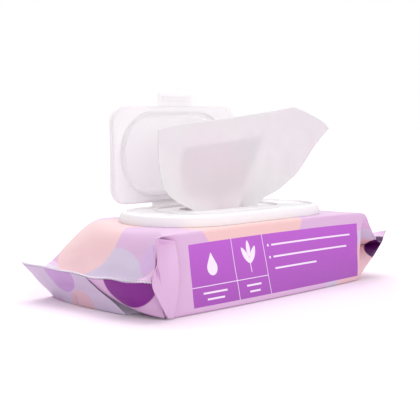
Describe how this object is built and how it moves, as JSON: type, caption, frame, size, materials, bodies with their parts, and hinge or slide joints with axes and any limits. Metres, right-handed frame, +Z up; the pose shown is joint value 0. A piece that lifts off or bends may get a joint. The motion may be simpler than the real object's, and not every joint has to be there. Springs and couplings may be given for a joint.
{
  "type": "wet wipes pack",
  "caption": "Soft film wet wipes pack with crimped ends, a stack of folded wipes, an oval stick-on dispenser with a flip lid, and one wipe drawn out through the opening.",
  "frame": {"origin": "centre of the pack's resting face, where it meets the table", "axes": "+X along the pack's long side, +Y from the near side to the lid hinge, +Z up out of the dispenser"},
  "size_m": [0.2465, 0.1154, 0.1343],
  "materials": {
    "printed_film": "semi-gloss printed film",
    "white_polypropylene": "satin moulded",
    "nonwoven": "moist nonwoven",
    "clear_adhesive": "tacky film"
  },
  "bodies": {
    "pack": {"film_wrapper": "printed_film", "wipe_stack": "nonwoven", "pulled_wipe": "nonwoven", "lid_base": "white_polypropylene", "lid_adhesive": "clear_adhesive"},
    "lid": {"flip_lid": "white_polypropylene"}
  },
  "joints": [
    {"name": "lid_hinge", "type": "hinge", "parent": "pack", "child": "lid", "pos_m": [0.012, 0.0435, 0.053], "axis": [1, 0, 0], "range_deg": [-40, 90], "deforming": ["pulled_wipe"]}
  ]
}
